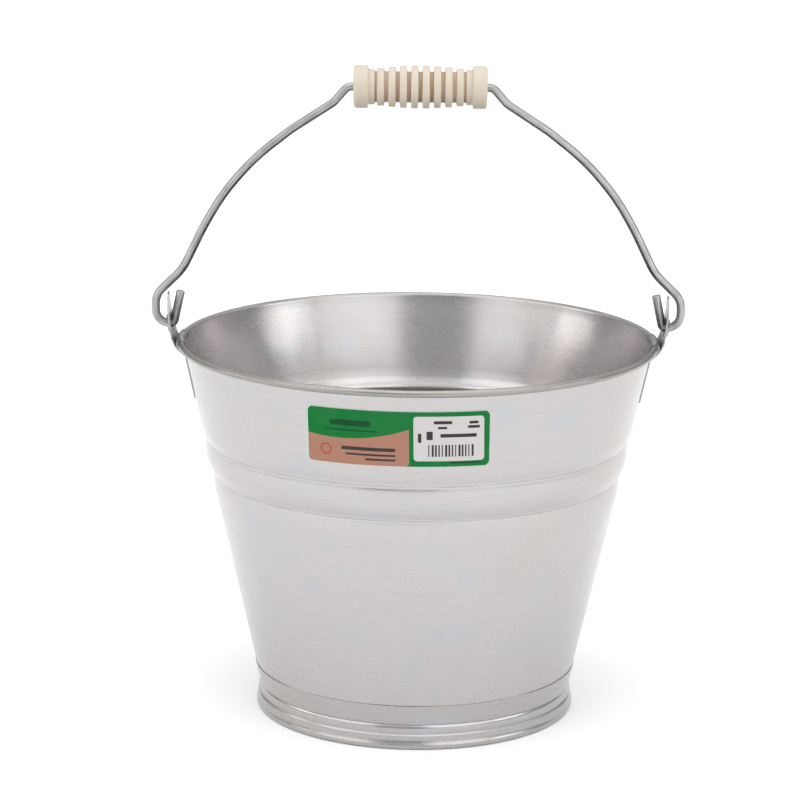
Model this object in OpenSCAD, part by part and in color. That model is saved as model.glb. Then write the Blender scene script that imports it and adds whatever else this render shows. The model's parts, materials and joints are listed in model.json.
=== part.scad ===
// Florist bucket: a tapered galvanised pail with a swaged band, a foot ring, two ears and
// a swinging wire bail that carries a ribbed plastic grip.
// Millimetres. +Z is up, X runs through the two ears, and the label faces -Y.
// The origin is the centre of the base, on the surface that the bucket stands on.

/* [Bucket] */
// Diameter over the rolled rim
rim_d = 250; // [230:1:270]
// Height of the rim above the ground
rim_h = 197; // [190:1:215]
// Diameter of the foot over its rolled edge
foot_d = 167.6; // [160:0.2:176]
// Thickness of the galvanised sheet
sheet_t = 0.4; // [0.3:0.05:0.6]
// Diameter of the rolled rim
curl_d = 3.6; // [3.2:0.1:4.4]

/* [Swaged band] */
// Height of the lower crease
crease_low_z = 126.6; // [118:0.2:130]
// Height of the upper crease
crease_high_z = 145.2; // [140:0.2:152]
// Depth of the creases below the wall
crease_depth = 1.75; // [0.6:0.05:2.4]
// How far the band between the creases bows outwards
band_bow = 1.6; // [0.6:0.1:2.4]

/* [Foot] */
// Height of the foot ring's upper edge
ring_h = 23.5; // [20:0.5:28]
// Height of the groove that locks body, floor and foot ring together
lock_z = 12.8; // [11:0.2:15]
// Diameter of the foot ring's rolled edge
foot_roll_d = 3.5; // [3:0.1:4.2]
// Width of the flat that the rolled edge stands on
foot_flat = 1; // [0.6:0.1:1.6]

/* [Ears] */
// Width of an ear at the rim
ear_w = 28; // [24:1:34]
// Width of an ear's rounded top
ear_top_w = 11.5; // [9:0.5:13]
// Thickness of the ear's plate
ear_t = 0.8; // [0.6:0.1:1]
// Height of the bail's pivot above the rim
pivot_rise = 6.6; // [6:0.1:9]
// Length of the leg that lies against the body
leg_len = 23; // [16:1:28]
// Width of the lip that is folded over the rim
lip_w = 27; // [14:1:27]

/* [Bail] */
// Diameter of the bail's wire
wire_d = 4.4; // [4:0.1:4.8]
// Radial clearance of the wire in the ears and in the grip
fit_gap = 0.1; // [0.05:0.01:0.1]
// Height of the grip's axis above the pivot
bail_rise = 124.5; // [124:0.5:134]

/* [Grip] */
// Length of the grip
grip_len = 68.4; // [68:0.2:69]
// Diameter of its end collars
collar_d = 22; // [20:0.5:24]
// Diameter of the ribs at the middle
rib_mid_d = 22.3; // [20:0.1:24]
// Diameter of the ribs nearest to the collars
rib_end_d = 19.4; // [18:0.1:22]
// Number of ribs
rib_count = 8; // [6:2:8]

/* [Label] */
// Width of the label along the wall
label_w = 92.5; // [60:0.5:100]
// Height of the label
label_h = 29.4; // [20:0.2:30]
// Turn of the label's middle from the front
label_turn = -4.6; // [-10:0.2:10]

/* [Hidden] */

$fn = 144;
hair = 0.02; // play between sheets that lie on each other

galvanised = "#c3c6c8";
galvanised_wire = "#a9acae";
ivory = "#e9dcc4";
label_green = "#5f8f4e";

// Rim and wall
curl_r = curl_d / 2;
curl_z = rim_h - curl_r;
curl_centre = rim_d / 2 - curl_r;
mouth_r = curl_centre - curl_r + sheet_t;      // outside of the wall at the rim
lower_taper = 0.2288;                          // growth of the radius per unit of height
upper_taper = 0.2155;
foot_r = foot_d / 2;
wall_at_ring = foot_r + 0.3;                   // outside of the wall at the foot ring's edge
function lower_r(z) = wall_at_ring + lower_taper * (z - ring_h);
function upper_r(z) = mouth_r - upper_taper * (curl_z - z);

// Swaged band, as points [radius, height] on the outside of the wall
roll_z = crease_low_z - 9.8;                   // where the wall starts to curve into the lower crease
shoulder_z = crease_high_z + 6.4;              // where it leaves the upper crease
low_r = lower_r(crease_low_z) - crease_depth;
high_r = upper_r(crease_high_z) - crease_depth + 0.6;

// Foot
foot_roll_r = foot_roll_d / 2;
roll_in = foot_r - foot_roll_r - foot_flat;
lock_deep = 1.85;                              // depth of the lock groove below the foot's radius
neck_z = lock_z + 2.7;                         // where the groove meets the ring's upright part
tuck_z = lock_z - 4.3;                         // lower edge of the body, inside the foot
bead_end_z = lock_z - 4.4;                     // lower edge of the bead below the groove
bead_bow = 0.45;
function roll_point(r, a) = [r + foot_roll_r * cos(a), foot_roll_r * (1 + sin(a))];
ring_line = concat(
    [
        [lower_r(ring_h) + hair + sheet_t, ring_h],
        [lower_r(neck_z) + hair + sheet_t, neck_z],
        [foot_r - lock_deep + 0.35, lock_z + 0.6],
        [foot_r - lock_deep, lock_z]
    ],
    bow([foot_r - lock_deep + 0.3, lock_z - 0.5], [foot_r - 1.3, bead_end_z], -bead_bow, 6),
    [
        [foot_r - 1.35, bead_end_z - 0.3],
        [foot_r - 0.8, bead_end_z - 1.2],
        [foot_r - 0.35, bead_end_z - 2.6],
        [foot_r - 0.1, 2.4 * foot_roll_r]
    ],
    [for (a = [0 : -15 : -90]) roll_point(foot_r - foot_roll_r, a)],
    [for (a = [-90 : -15 : -240]) roll_point(roll_in, a)]
);
lock_r = foot_r - lock_deep - sheet_t - hair;  // outside of the wall in the groove
floor_top_z = lock_z + 0.2;

// Ears
pivot_z = rim_h + pivot_rise;
ear_mid = ear_t / 2;
ear_top_z = pivot_z + 16.8;
leg_top_z = rim_h - 8.4;
leg_end_z = leg_top_z - leg_len;
leg_corner = 4;
taper_z = rim_h + 2.2;                         // where the plate starts to narrow towards its top
plate_x = curl_centre + 5.45;                  // middle of the plate at the pivot
plate_lean = 7.6;                              // degrees out of the upright
function plate_at(z) = plate_x + (z - pivot_z) * tan(plate_lean);
ear_line = [
    [upper_r(leg_end_z) + hair + ear_mid, leg_end_z],
    [upper_r(leg_top_z) + hair + ear_mid, leg_top_z],
    [curl_centre + 1.1, curl_z - 3.3],
    [curl_centre + 3.3, curl_z - 0.7],
    [plate_at(rim_h + 1), rim_h + 1],
    [plate_at(pivot_z + 8), pivot_z + 8],
    [plate_at(pivot_z + 8), ear_top_z + 1]
];
ear_sweep = 10;                                // degrees each side of the ear's middle
lip_in = curl_r + 0.05;
lip_out = lip_in + 0.7;
boss_r = 6.5;
boss_top_r = 4.4;
boss_h = 1.25;
dish_deep = 1.2;                               // depth of the hollow behind the boss
hole_r = wire_d / 2 + fit_gap;

// Bail: corners of the wire's middle line on one side, as [x, height above the pivot, bend radius]
wire_r = wire_d / 2;
bar_lap = 0.15;                                // how far a straight length runs into its bends
elbow_over = 0.01;                             // how much a bend is thicker than the straight lengths
bail_corners = [
    [37.3, bail_rise, 5],
    [44.3, bail_rise - 8.2, 12],
    [66.3, 102, 60],
    [85.3, 87, 110],
    [102, 67.6, 110],
    [112, 49.8, 110],
    [122.3, 28.6, 28],
    [136.4, 15, 11],
    [136.4, 0, 6.2],
    [127, 0, wire_r + 0.25],
    [123.3, 17.2, 0]
];

// Grip
rib_pitch = 5.8;
rib_w = 3.8;
core_r = 7.9;
step_r = 9.1;
step_w = 3.3;
collar_w = 7.5;
half_grip = grip_len / 2;
rib_reach = (rib_count - 1) / 2;

// A curve from p to q that bows to its right by s, as n + 1 points
function bow(p, q, s, n) = [
    for (i = [0 : n])
        let (t = i / n, d = q - p, side = [d[1], -d[0]] / norm(d))
        p + t * d + 4 * s * t * (1 - t) * side
];

function reversed(pts) = [for (i = [len(pts) - 1 : -1 : 0]) pts[i]];
function left_of(a, b) = let (d = (b - a) / norm(b - a)) [-d[1], d[0]];

// The line moved to its left by d, with mitred corners
function shifted(pts, d) = [
    for (i = [0 : len(pts) - 1])
        let (
            last = len(pts) - 1,
            before = left_of(pts[max(i - 1, 0)], pts[max(i, 1)]),
            after = left_of(pts[min(i, last - 1)], pts[min(i + 1, last)])
        )
        pts[i] + d * (before + after) / (1 + before * after)
];

// The outline of a sheet whose right side is a and whose left side is b from the line
function sheet(pts, a, b) = concat(shifted(pts, a), reversed(shifted(pts, b)));

wall_line = concat(
    [[lock_r - 0.3, tuck_z], [lock_r, lock_z], [lower_r(neck_z), neck_z]],
    [[lower_r(ring_h), ring_h]],
    bow([lower_r(roll_z), roll_z], [low_r + 0.55, crease_low_z - 1.2], 0.25, 4),
    [[low_r, crease_low_z]],
    bow([low_r + 0.5, crease_low_z + 0.6], [high_r + 0.7, crease_high_z - 1.3], band_bow, 9),
    [[high_r, crease_high_z]],
    bow([high_r + 0.85, crease_high_z + 1], [upper_r(shoulder_z), shoulder_z], 0.15, 4),
    [[mouth_r, curl_z]]
);
seam_top_z = curl_z - 3;
seam_line = concat(
    [for (p = wall_line) if (p[1] > ring_h - 1 && p[1] < seam_top_z) p],
    [[upper_r(seam_top_z), seam_top_z]]
);

function flat_point(c) = [c[0], c[1]];
function towards(a, b) = (flat_point(b) - flat_point(a)) / norm(flat_point(b) - flat_point(a));
function turn_at(before, c, after) = acos(towards(before, c) * towards(c, after));
function reach(before, c, after) = c[2] * tan(turn_at(before, c, after) / 2);

// A straight length of the wire between two points of the XZ plane
module bar(a, b) {
    translate([a[0], 0, a[1]])
        rotate([0, atan2(b[0] - a[0], b[1] - a[1]), 0])
            cylinder(h = norm(b - a), r = wire_r, $fn = 48);
}

// The wire's bend at corner c, between its neighbours. It swallows the ends of its two bars.
module elbow(before, c, after) {
    incoming = towards(before, c);
    outgoing = towards(c, after);
    start = flat_point(c) - reach(before, c, after) * incoming;
    clockwise = incoming[0] * outgoing[1] < incoming[1] * outgoing[0];
    side = clockwise ? [incoming[1], -incoming[0]] : [-incoming[1], incoming[0]];
    centre = start + c[2] * side;
    sweep = turn_at(before, c, after);
    first = atan2(start[1] - centre[1], start[0] - centre[0]);
    translate([centre[0], 0, centre[1]])
        rotate([90, 0, 0])
            rotate([0, 0, clockwise ? first - sweep : first])
                rotate_extrude(angle = sweep)
                    translate([c[2], 0])
                        circle(r = wire_r + elbow_over, $fn = 48);
}

// One side of the bail, from the grip to the end inside the ear
module bail_side() {
    last = len(bail_corners) - 1;
    corners = concat([[0, bail_rise, 0]], bail_corners);
    for (i = [1 : last]) {
        before = corners[i - 1];
        here = corners[i];
        after = corners[i + 1];
        along = towards(here, after);
        ahead = i < last ? bar_lap - reach(here, after, corners[i + 2]) : 0;
        behind = reach(before, here, after) - bar_lap;
        elbow(before, here, after);
        bar(flat_point(here) + behind * along, flat_point(after) + ahead * along);
    }
}

// The body: one sheet with its swaged band, rolled rim and lock seam
module body_shell() {
    seam_half = 1.6;   // degrees
    seam_proud = 0.8;
    seam_root = 0.15;  // how far it reaches into the wall
    color(galvanised) {
        rotate_extrude()
            polygon(sheet(wall_line, 0, sheet_t));
        rotate_extrude()
            translate([curl_centre, curl_z])
                difference() {
                    circle(r = curl_r, $fn = 48);
                    circle(r = curl_r - sheet_t, $fn = 48);
                }
        rotate([0, 0, 90 - seam_half])
            rotate_extrude(angle = 2 * seam_half)
                polygon(sheet(seam_line, -seam_proud, seam_root));
    }
}

module rim_wire() {
    color(galvanised_wire)
        rotate_extrude()
            translate([curl_centre, curl_z])
                circle(r = curl_r - sheet_t - hair, $fn = 48);
}

// The floor, with its edge turned down inside the body
module floor_pan() {
    edge = lock_r - sheet_t - hair;
    color(galvanised)
        rotate_extrude()
            polygon([
                [0, floor_top_z], [edge - 0.7, floor_top_z], [edge - 0.05, lock_z - 0.4],
                [edge - 0.35, tuck_z], [edge - 0.35 - sheet_t, tuck_z],
                [edge - 0.05 - sheet_t, lock_z - 0.7], [edge - 0.9, floor_top_z - sheet_t],
                [0, floor_top_z - sheet_t]
            ]);
}

// The foot: a hoop round the body's lower edge, rolled at its own
module foot_ring() {
    color(galvanised)
        rotate_extrude()
            polygon(sheet(ring_line, 0, -sheet_t));
}

// An ear's outline, looking along X: the plate and the leg
module ear_outline() {
    half_w = ear_w / 2;
    top_r = ear_top_w / 2;
    top_z = ear_top_z - top_r;
    shoulder_w = top_r - 0.35;
    translate([0, top_z])
        circle(r = top_r, $fn = 64);
    polygon([
        [-half_w, leg_end_z + leg_corner], [-half_w + leg_corner, leg_end_z],
        [half_w - leg_corner, leg_end_z], [half_w, leg_end_z + leg_corner],
        [half_w, taper_z], [shoulder_w, top_z + 2], [-shoulder_w, top_z + 2], [-half_w, taper_z]
    ]);
}

// The right ear, at +X
module ear() {
    lip_turn = asin(lip_w / 2 / curl_centre);
    lip_angles = [-62 : 10 : 188];
    lip_line = [for (a = lip_angles) [cos(a), sin(a)]];
    // The lip thickens where it grows out of the plate
    lip_back = [for (a = lip_angles) (lip_out + max(0, -a - 20) / 70) * [cos(a), sin(a)]];
    difference() {
        union() {
            intersection() {
                rotate([0, 0, -ear_sweep])
                    rotate_extrude(angle = 2 * ear_sweep)
                        polygon(sheet(ear_line, -ear_mid, ear_mid));
                rotate([90, 0, 90])
                    linear_extrude(height = rim_d)
                        ear_outline();
            }
            rotate([0, 0, -lip_turn])
                rotate_extrude(angle = 2 * lip_turn)
                    translate([curl_centre, curl_z])
                        polygon(concat(lip_back, lip_in * reversed(lip_line)));
            translate([plate_x, 0, pivot_z])
                rotate([0, 90 + plate_lean, 0])
                    cylinder(h = boss_h + ear_mid, r1 = boss_r, r2 = boss_top_r);
        }
        translate([plate_x, 0, pivot_z])
            rotate([0, 90 + plate_lean, 0])
                translate([0, 0, -dish_deep])
                    cylinder(h = boss_h + dish_deep - ear_mid, r1 = boss_r, r2 = boss_top_r - 0.6);
        translate([plate_x, 0, pivot_z])
            rotate([0, 90, 0])
                cylinder(h = 2 * boss_r, r = hole_r, center = true);
    }
}

module ear_left() {
    color(galvanised)
        mirror([1, 0, 0])
            ear();
}

module ear_right() {
    color(galvanised)
        ear();
}

module bail() {
    under_grip = bail_corners[0][0] - reach([0, bail_rise, 0], bail_corners[0], bail_corners[1]) + bar_lap;
    color(galvanised_wire)
        translate([0, 0, pivot_z]) {
            bar([-under_grip, bail_rise], [under_grip, bail_rise]);
            bail_side();
            mirror([1, 0, 0])
                bail_side();
        }
}

// A quarter of a round from angle a to angle b
function quarter(centre, r, a, b) = [
    for (i = [0 : 4])
        let (angle = a + i * (b - a) / 4)
        centre + r * [cos(angle), sin(angle)]
];

// A disc of the grip between s0 and s1 along its axis, with rounded edges
function disc(s0, s1, r, round_r) = concat(
    [[s0, core_r]],
    quarter([s0 + round_r, r - round_r], round_r, 180, 90),
    quarter([s1 - round_r, r - round_r], round_r, 90, 0),
    [[s1, core_r]]
);

function rib_r(s) = (rib_mid_d - (rib_mid_d - rib_end_d) * pow(s / (rib_reach * rib_pitch), 2)) / 2;

// The grip: a tube with collars, steps and a barrel of ribs
module grip() {
    collar_r = collar_d / 2;
    inner = half_grip - collar_w;
    end_round = 1.6;
    inner_round = 0.8;
    step_round = 0.5;
    rib_round = 0.7;
    left_collar = concat(
        quarter([-half_grip + end_round, collar_r - end_round], end_round, 180, 90),
        quarter([-inner - inner_round, collar_r - inner_round], inner_round, 90, 0)
    );
    left_step = concat(
        [[-inner, step_r]],
        quarter([-inner + step_w - step_round, step_r - step_round], step_round, 90, 0)
    );
    ribs = [
        for (i = [-rib_reach : rib_reach])
            let (s = i * rib_pitch)
            each disc(s - rib_w / 2, s + rib_w / 2, rib_r(s), rib_round)
    ];
    left = concat(left_collar, left_step, [[-inner + step_w, core_r]]);
    right = [for (p = reversed(left)) [-p[0], p[1]]];
    outline = concat(left, ribs, right);
    bore_r = wire_r + fit_gap;
    color(ivory)
        translate([0, 0, pivot_z + bail_rise])
            rotate([0, 90, 0])
                rotate_extrude()
                    polygon(concat(
                        [[bore_r, -half_grip]],
                        [for (p = outline) [p[1], p[0]]],
                        [[bore_r, half_grip]]
                    ));
}

// The label: a printed sheet stuck on the wall above the band
module label() {
    corner_r = 3;
    film_t = 0.15;
    middle_z = 171;
    low_z = middle_z - label_h / 2 - 2;
    high_z = middle_z + label_h / 2 + 2;
    span = label_w / upper_r(middle_z) * 180 / PI;
    spare = 3; // degrees of film beyond each end, cut away by the outline
    chord = 2 * upper_r(middle_z) * sin(span / 2);
    color(label_green)
        rotate([0, 0, label_turn])
            intersection() {
                rotate([0, 0, -90 - span / 2 - spare])
                    rotate_extrude(angle = span + 2 * spare)
                        translate([hair, 0])
                            polygon([
                                [upper_r(low_z), low_z], [upper_r(low_z) + film_t, low_z],
                                [upper_r(high_z) + film_t, high_z], [upper_r(high_z), high_z]
                            ]);
                translate([0, 0, middle_z])
                    rotate([90, 0, 0])
                        linear_extrude(height = rim_d) {
                            square([chord - 2 * corner_r, label_h], center = true);
                            square([chord, label_h - 2 * corner_r], center = true);
                            for (x = [-1, 1], y = [-1, 1])
                                translate([x * (chord / 2 - corner_r), y * (label_h / 2 - corner_r)])
                                    circle(r = corner_r, $fn = 48);
                        }
            }
}

body_shell();
rim_wire();
floor_pan();
foot_ring();
ear_left();
ear_right();
bail();
grip();
label();
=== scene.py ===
"""A florist bucket: a galvanised pail with a swaged band, two ears, a wire bail and a ribbed grip."""

import json
import logging
import math
from contextlib import contextmanager
from dataclasses import dataclass, field
from enum import Enum
from typing import Callable, Iterator, Optional, Sequence

import bmesh
import bpy
import numpy as np
from mathutils import Matrix, Vector


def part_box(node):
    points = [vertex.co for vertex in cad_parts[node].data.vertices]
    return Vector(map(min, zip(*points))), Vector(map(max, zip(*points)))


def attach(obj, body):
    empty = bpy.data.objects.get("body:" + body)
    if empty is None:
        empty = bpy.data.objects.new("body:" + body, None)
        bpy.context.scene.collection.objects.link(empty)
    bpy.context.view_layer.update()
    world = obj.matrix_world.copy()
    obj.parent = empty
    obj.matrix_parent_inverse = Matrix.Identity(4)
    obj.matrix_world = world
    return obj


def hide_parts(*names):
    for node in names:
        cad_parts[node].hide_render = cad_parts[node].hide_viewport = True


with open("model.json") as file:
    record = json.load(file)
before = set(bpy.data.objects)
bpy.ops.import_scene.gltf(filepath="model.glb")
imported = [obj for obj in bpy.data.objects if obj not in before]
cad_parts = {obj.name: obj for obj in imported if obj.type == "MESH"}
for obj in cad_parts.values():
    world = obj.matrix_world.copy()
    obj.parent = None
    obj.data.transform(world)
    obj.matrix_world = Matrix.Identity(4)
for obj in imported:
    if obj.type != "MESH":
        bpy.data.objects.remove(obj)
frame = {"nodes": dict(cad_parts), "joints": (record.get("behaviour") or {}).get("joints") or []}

logging.basicConfig(level=logging.INFO, format="%(message)s")
log = logging.getLogger("florist_bucket")

Point = tuple[float, float]
Colour = tuple[float, float, float]
Socket = bpy.types.NodeSocket


class Body(Enum):
    """The bodies that pieces ride on."""

    BUCKET = "bucket"
    BAIL = "bail"
    GRIP = "grip"


class Slot(Enum):
    """The record's material slots."""

    SHEET = "galvanised_sheet"
    WIRE = "galvanised_wire"
    PLASTIC = "grip_plastic"
    PRINT = "label_print"


class Side(Enum):
    """The two ears' sides, as the sign of X."""

    LEFT = -1
    RIGHT = 1


def bow(start: Point, end: Point, rise: float, steps: int) -> list[Point]:
    """A shallow arch between two points that bows to the right of its direction.

    Args:
        start: First point, as radius and height.
        end: Last point.
        rise: Height of the arch over its chord.
        steps: Number of straight stretches.

    Returns:
        The arch's points, ends included.
    """
    along = Vector(end) - Vector(start)
    across = Vector((along.y, -along.x)).normalized()
    points = []
    for step in range(steps + 1):
        t = step / steps
        here = Vector(start) + t * along + 4 * rise * t * (1 - t) * across
        points.append((here.x, here.y))
    return points


def arc(centre: Point, radius: float, first: float, last: float, steps: int) -> list[Point]:
    """The points of an arc.

    Args:
        centre: Centre of the arc.
        radius: Its radius.
        first: Angle of the first point in degrees.
        last: Angle of the last point in degrees.
        steps: Number of straight stretches.

    Returns:
        The arc's points, ends included.
    """
    angles = [math.radians(first + (last - first) * step / steps) for step in range(steps + 1)]
    return [(centre[0] + radius * math.cos(a), centre[1] + radius * math.sin(a)) for a in angles]


class Bench:
    """Modelling steps that every sub-assembly uses."""

    @staticmethod
    def clear() -> None:
        """Leaves object mode with nothing selected."""
        if bpy.context.object and bpy.context.object.mode != "OBJECT":
            bpy.ops.object.mode_set(mode="OBJECT")
        bpy.ops.object.select_all(action="DESELECT")

    @staticmethod
    def only(piece: bpy.types.Object) -> None:
        """Selects one piece and nothing else."""
        Bench.clear()
        piece.select_set(True)
        bpy.context.view_layer.objects.active = piece

    @staticmethod
    def take(name: str) -> bpy.types.Object:
        """Names the primitive just added and moves its place into its mesh.

        Args:
            name: The piece's name.

        Returns:
            The object.
        """
        piece = bpy.context.active_object
        piece.name = name
        piece.data.name = name
        bpy.ops.object.transform_apply(location=True, rotation=True, scale=True)
        return piece

    @staticmethod
    @contextmanager
    def editing(piece: bpy.types.Object, everything: bool = True) -> Iterator[None]:
        """Edit mode on one piece.

        Args:
            piece: The object to edit.
            everything: Whether all of it starts selected.
        """
        Bench.only(piece)
        bpy.ops.object.mode_set(mode="EDIT")
        bpy.ops.mesh.select_mode(type="VERT")
        bpy.ops.mesh.select_all(action="SELECT" if everything else "DESELECT")
        yield
        bpy.ops.object.mode_set(mode="OBJECT")

    @staticmethod
    def pick(piece: bpy.types.Object, test: Callable[[Vector], bool]) -> int:
        """Selects, in edit mode, the vertices whose place passes a test.

        Args:
            piece: The object in edit mode.
            test: Takes a vertex's place.

        Returns:
            How many were selected.
        """
        mesh = bmesh.from_edit_mesh(piece.data)
        for vertex in mesh.verts:
            vertex.select_set(test(vertex.co))
        mesh.select_mode = {"VERT"}
        mesh.select_flush_mode()
        bmesh.update_edit_mesh(piece.data)
        return sum(vertex.select for vertex in mesh.verts)

    @staticmethod
    def rings(piece: bpy.types.Object, line: Sequence[Point], along: Vector, foot: Vector) -> None:
        """Extrudes a ring through a section line, stretch by stretch.

        Args:
            piece: The ring, at the line's first point.
            line: Points of the section, as place along the axis and radius.
            along: The axis, X or Z.
            foot: The point of the axis at place 0.
        """
        with Bench.editing(piece):
            for (place, radius), (next_place, next_radius) in zip(line, line[1:]):
                step = (next_place - place) * along
                bpy.ops.mesh.extrude_region_move(TRANSFORM_OT_translate={"value": step})
                size = [1 if part else next_radius / radius for part in along]
                bpy.ops.transform.resize(value=size, center_override=foot + next_place * along)

    @staticmethod
    def lathe(name: str, line: Sequence[Point], steps: int) -> bpy.types.Object:
        """Raises a ring about the Z axis along a section line.

        Args:
            name: The piece's name.
            line: Points of the section, as radius and height.
            steps: Number of vertices in a ring.

        Returns:
            The open surface.
        """
        Bench.clear()
        radius, height = line[0]
        bpy.ops.mesh.primitive_circle_add(vertices=steps, radius=radius, location=(0, 0, height))
        piece = Bench.take(name)
        Bench.rings(piece, [(z, r) for r, z in line], Vector((0, 0, 1)), Vector())
        return piece

    @staticmethod
    def turned(name: str, line: Sequence[Point], height: float, steps: int) -> bpy.types.Object:
        """Draws a ring along X, about a level axis, along a section line.

        Args:
            name: The piece's name.
            line: Points of the section, as place along X and radius.
            height: Height of the axis.
            steps: Number of vertices in a ring.

        Returns:
            The surface.
        """
        Bench.clear()
        place, radius = line[0]
        bpy.ops.mesh.primitive_circle_add(
            vertices=steps, radius=radius, location=(place, 0, height), rotation=(0, math.pi / 2, 0)
        )
        piece = Bench.take(name)
        Bench.rings(piece, line, Vector((1, 0, 0)), Vector((0, 0, height)))
        return piece

    @staticmethod
    def strip(name: str, line: Sequence[Point], first: float, sweep: float, steps: int) -> bpy.types.Object:
        """Spins a section line part of the way round the Z axis.

        Args:
            name: The piece's name.
            line: Points of the section, as radius and height.
            first: Angle of its first edge from +X, in degrees.
            sweep: Angle that it covers, in degrees.
            steps: Number of stretches round.

        Returns:
            The open surface.
        """
        Bench.clear()
        turn = math.radians(first)
        places = [Vector((r * math.cos(turn), r * math.sin(turn), z)) for r, z in line]
        bpy.ops.mesh.primitive_plane_add(size=0.001, location=places[0])
        piece = Bench.take(name)
        with Bench.editing(piece):
            bpy.ops.mesh.merge(type="CENTER")
            for before, after in zip(places, places[1:]):
                bpy.ops.mesh.extrude_region_move(TRANSFORM_OT_translate={"value": after - before})
            bpy.ops.mesh.select_all(action="SELECT")
            Bench.spin(steps, math.radians(sweep), (0, 0, 0), (0, 0, 1))
        return piece

    @staticmethod
    def spin(steps: int, turn: float, centre: Sequence[float], axis: Sequence[float]) -> None:
        """Spins what is selected, counter-clockwise as seen against the axis.

        Args:
            steps: Number of stretches.
            turn: Angle in radians.
            centre: A point on the axis.
            axis: Its direction.
        """
        bpy.ops.mesh.spin(steps=steps, angle=-turn, center=centre, axis=axis)

    @staticmethod
    def weld(piece: bpy.types.Object, distance: float = 0.000005) -> None:
        """Merges doubled vertices and turns the normals of the closed form outwards."""
        with Bench.editing(piece):
            bpy.ops.mesh.remove_doubles(threshold=distance)
            bpy.ops.mesh.normals_make_consistent(inside=False)

    @staticmethod
    def face_out(piece: bpy.types.Object, outward: Callable[[Vector], Vector]) -> None:
        """Makes the normals agree and turns them all towards the outside.

        Args:
            piece: An open surface.
            outward: Gives the outward direction at a place on the surface.
        """
        with Bench.editing(piece):
            bpy.ops.mesh.normals_make_consistent(inside=False)
        faces = piece.data.polygons
        probe = faces[len(faces) // 2]
        if probe.normal.dot(outward(probe.center)) < 0:
            with Bench.editing(piece):
                bpy.ops.mesh.flip_normals()

    @staticmethod
    def modify(piece: bpy.types.Object, kind: str, **settings) -> None:
        """Adds a modifier and applies it.

        Args:
            piece: The object.
            kind: The modifier's type.
            **settings: Its settings.
        """
        Bench.only(piece)
        modifier = piece.modifiers.new(kind.lower(), kind)
        for setting, value in settings.items():
            setattr(modifier, setting, value)
        bpy.ops.object.modifier_apply(modifier=modifier.name)

    @staticmethod
    def join(main: bpy.types.Object, others: Sequence[bpy.types.Object]) -> None:
        """Joins pieces of one part into the first.

        Args:
            main: The object that stays.
            others: The objects that go into it.
        """
        Bench.only(main)
        for other in others:
            other.select_set(True)
        bpy.ops.object.join()

    @staticmethod
    def smooth(piece: bpy.types.Object, angle: float) -> None:
        """Smooth shading with sharp edges past an angle in degrees."""
        Bench.only(piece)
        bpy.ops.object.shade_smooth_by_angle(angle=math.radians(angle))

    @staticmethod
    def finish(
        piece: bpy.types.Object,
        body: Body,
        node: str,
        slot: Slot,
        finish: bpy.types.Material,
        angle: float = 30,
    ) -> None:
        """Smooths a piece, dresses it and ties it to the frame.

        Args:
            piece: The finished mesh.
            body: The body that it rides on.
            node: The CAD node that it stands for.
            slot: The record's material slot; not used.
            finish: Its material.
            angle: Edges sharper than this many degrees stay crisp.
        """
        Bench.smooth(piece, angle)
        piece.data.materials.clear()
        piece.data.materials.append(finish)
        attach(piece, body.value)
        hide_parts(node)
        log.info("%s: %d faces on %s", piece.name, len(piece.data.polygons), body.value)


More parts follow.
